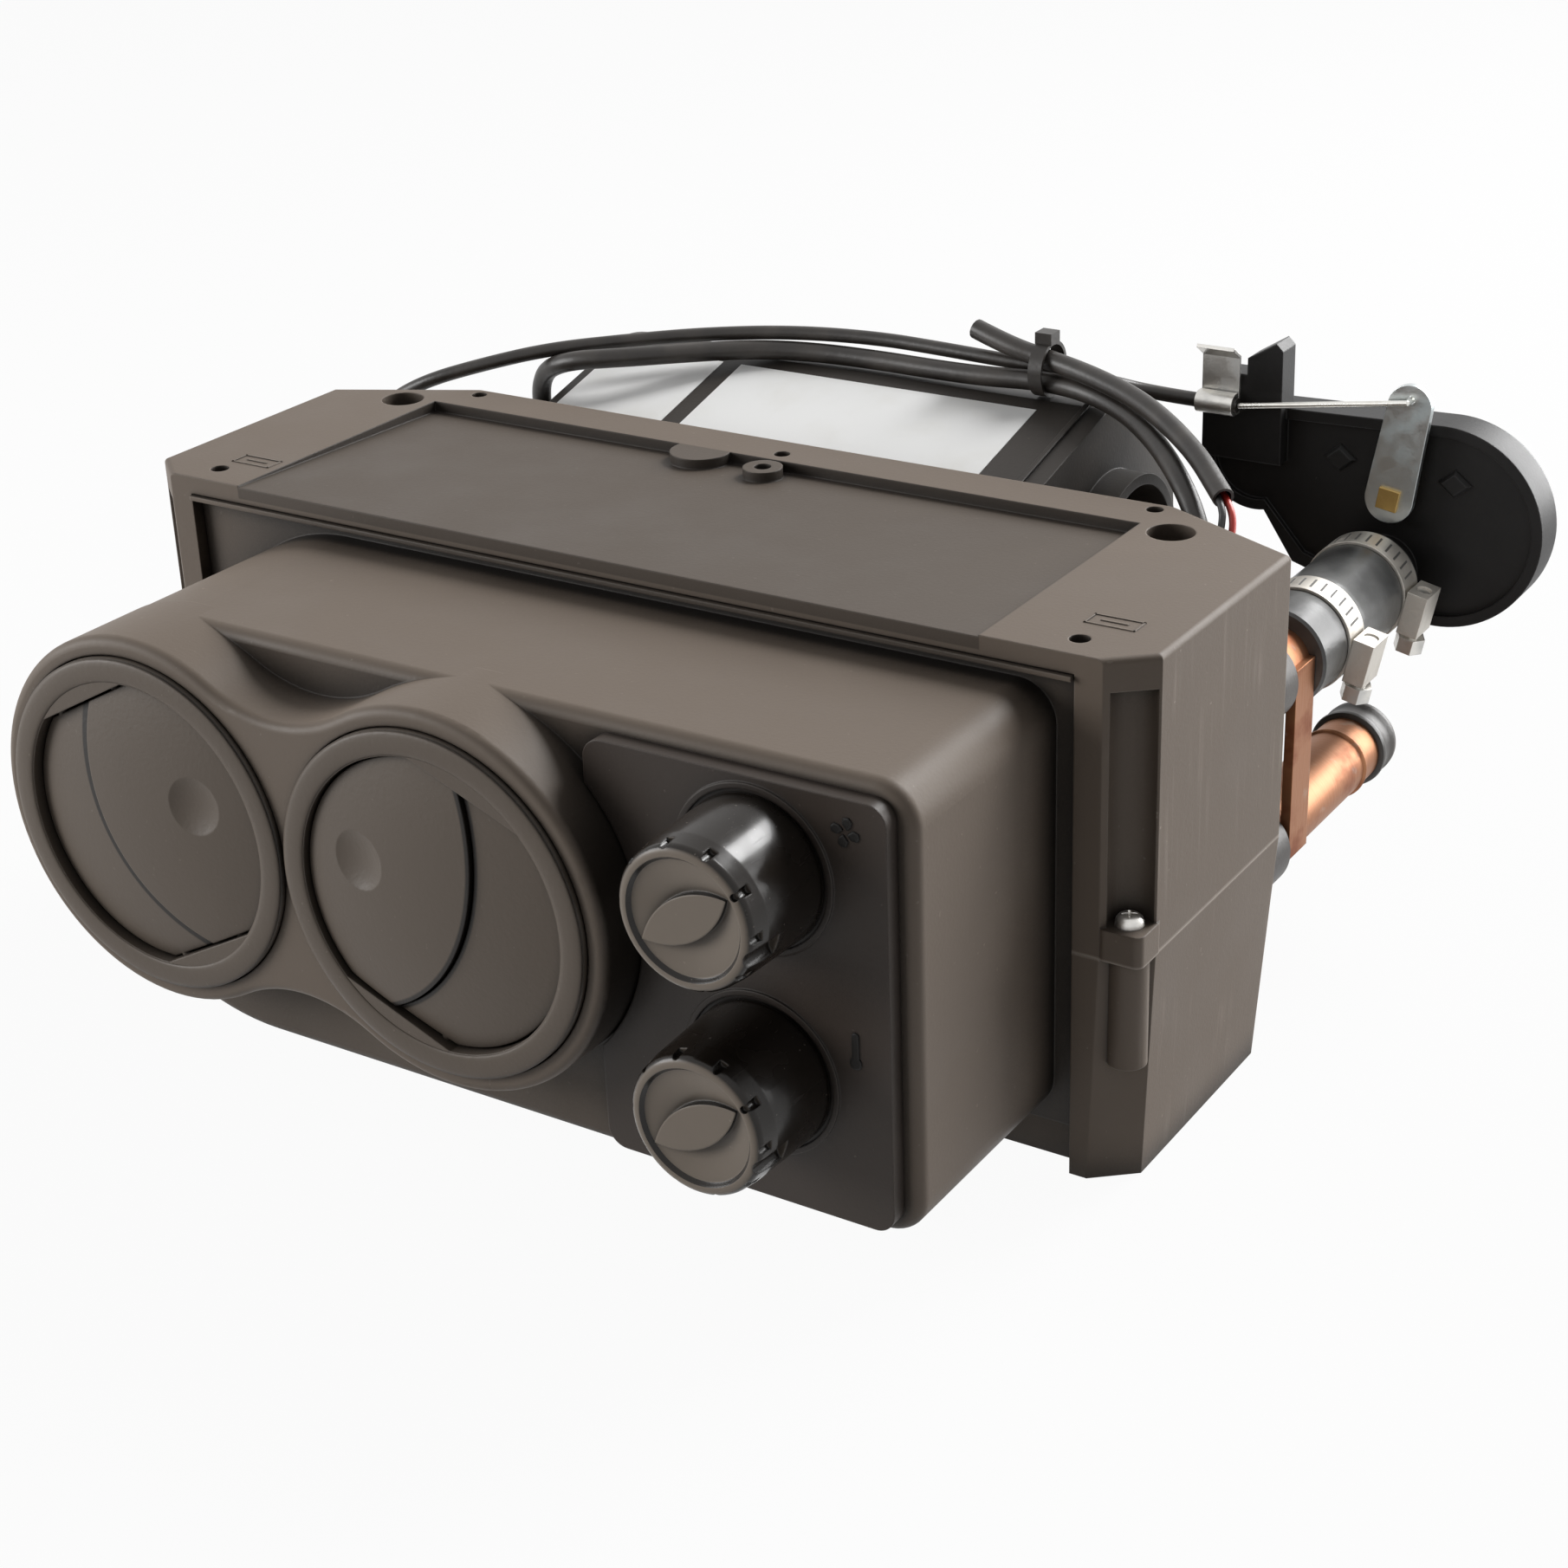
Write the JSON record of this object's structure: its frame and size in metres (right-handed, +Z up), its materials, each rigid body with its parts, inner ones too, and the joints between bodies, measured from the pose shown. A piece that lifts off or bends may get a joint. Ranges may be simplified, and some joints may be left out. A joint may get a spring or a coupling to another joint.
{
  "type": "vehicle cab heater",
  "caption": "Under-dash cab heater: moulded case with coolant core and blower, turning round vents with flaps, fan and temperature knobs, and a cable-worked hose valve.",
  "frame": {"origin": "on the top face, midway between the two mounting holes", "axes": "+X along the front, from the vents towards the knobs; +Y from the front towards the blower; +Z up"},
  "size_m": [0.3345, 0.3084, 0.1567],
  "materials": {
    "case_plastic": "moulded, fine grain",
    "panel_plastic": "moulded, smooth",
    "blower_plastic": "moulded, satin",
    "valve_plastic": "moulded, satin",
    "control_plastic": "moulded",
    "knob_plastic": "polished",
    "zinc_steel": "zinc plated",
    "plain_steel": "plain",
    "brass": "turned",
    "copper": "drawn copper tube",
    "core_metal": "brazed",
    "rubber": "matt",
    "foam": "foam strip",
    "cable_sheath": "soft plastic, satin",
    "red_insulation": "wire insulation",
    "black_insulation": "wire insulation"
  },
  "bodies": {
    "heater_case": {"black_lead": "black_insulation", "blower_lower": "blower_plastic", "blower_motor": "plain_steel", "blower_upper": "blower_plastic", "cable_clip": "zinc_steel", "cable_grommets": "rubber", "cable_tie": "cable_sheath", "case_screws": "zinc_steel", "control_cable": "cable_sheath", "control_nuts": "zinc_steel", "control_panel": "panel_plastic", "control_wire": "zinc_steel", "coolant_hose": "rubber", "core_fins": "core_metal", "core_left_tank": "core_metal", "core_right_tank": "core_metal", "core_seals": "foam", "core_tubes": "core_metal", "fan_switch": "control_plastic", "far_clamp_screw": "zinc_steel", "far_hose_clamp": "zinc_steel", "front_plenum": "case_plastic", "lower_case": "case_plastic", "lower_pipe": "copper", "motor_cradle": "blower_plastic", "near_clamp_screw": "zinc_steel", "near_hose_clamp": "zinc_steel", "pipe_cap": "rubber", "pipe_grommets": "rubber", "pipe_strap": "copper", "red_lead": "red_insulation", "short_sleeve": "cable_sheath", "temperature_control": "control_plastic", "upper_case": "case_plastic", "upper_pipe": "copper", "valve_body": "valve_plastic", "wiring_sleeve": "cable_sheath"},
    "left_vent": {"left_vent_ring": "case_plastic"},
    "left_broad_flap": {"left_vent_broad_flap": "case_plastic"},
    "left_crescent_flap": {"left_vent_crescent_flap": "case_plastic"},
    "right_vent": {"right_vent_ring": "case_plastic"},
    "right_broad_flap": {"right_vent_broad_flap": "case_plastic"},
    "right_crescent_flap": {"right_vent_crescent_flap": "case_plastic"},
    "fan_control": {"fan_knob": "knob_plastic", "fan_spindle": "plain_steel"},
    "temperature_dial": {"temperature_knob": "knob_plastic", "temperature_spindle": "plain_steel"},
    "valve_arm": {"valve_lever": "zinc_steel", "valve_shaft": "brass"},
    "blower_rotor": {"motor_shaft": "plain_steel", "left_blower_wheel": "blower_plastic", "right_blower_wheel": "blower_plastic"}
  },
  "joints": [
    {"name": "left_vent_turn", "type": "hinge", "parent": "heater_case", "child": "left_vent", "pos_m": [-0.0776, -0.149, -0.0576], "axis": [0, 1, 0], "continuous": true},
    {"name": "left_broad_tilt", "type": "hinge", "parent": "left_vent", "child": "left_broad_flap", "pos_m": [-0.06877, -0.1538, -0.05291], "axis": [0.4695, 0, -0.8829], "range_deg": [0, 80]},
    {"name": "left_crescent_tilt", "type": "hinge", "parent": "left_vent", "child": "left_crescent_flap", "pos_m": [-0.08855, -0.1538, -0.06342], "axis": [0.4695, 0, -0.8829], "range_deg": [0, 80]},
    {"name": "right_vent_turn", "type": "hinge", "parent": "heater_case", "child": "right_vent", "pos_m": [0.0109, -0.149, -0.0576], "axis": [0, 1, 0], "continuous": true},
    {"name": "right_broad_tilt", "type": "hinge", "parent": "right_vent", "child": "right_broad_flap", "pos_m": [0.00163, -0.1538, -0.05385], "axis": [0.3746, 0, 0.9272], "range_deg": [0, 80]},
    {"name": "right_crescent_tilt", "type": "hinge", "parent": "right_vent", "child": "right_crescent_flap", "pos_m": [0.0224, -0.1538, -0.06225], "axis": [0.3746, 0, 0.9272], "range_deg": [0, 80]},
    {"name": "fan_turn", "type": "hinge", "parent": "heater_case", "child": "fan_control", "pos_m": [0.0904, -0.15, -0.035], "axis": [0, 1, 0], "range_deg": [0, 120]},
    {"name": "temperature_turn", "type": "hinge", "parent": "heater_case", "child": "temperature_dial", "pos_m": [0.0904, -0.15, -0.0854], "axis": [0, 1, 0], "range_deg": [0, 150]},
    {"name": "valve_swing", "type": "hinge", "parent": "heater_case", "child": "valve_arm", "pos_m": [0.1404, 0.093, -0.017], "axis": [0, 1, 0], "range_deg": [-50, 0], "deforming": ["control_wire"]},
    {"name": "blower_spin", "type": "hinge", "parent": "heater_case", "child": "blower_rotor", "pos_m": [-0.0107, 0.067, -0.038], "axis": [1, 0, 0], "continuous": true}
  ],
  "couplings": [
    {"joint": "left_crescent_tilt", "follows": "left_broad_tilt", "ratio": 1},
    {"joint": "right_crescent_tilt", "follows": "right_broad_tilt", "ratio": 1},
    {"joint": "valve_swing", "follows": "temperature_turn", "ratio": -0.333}
  ]
}
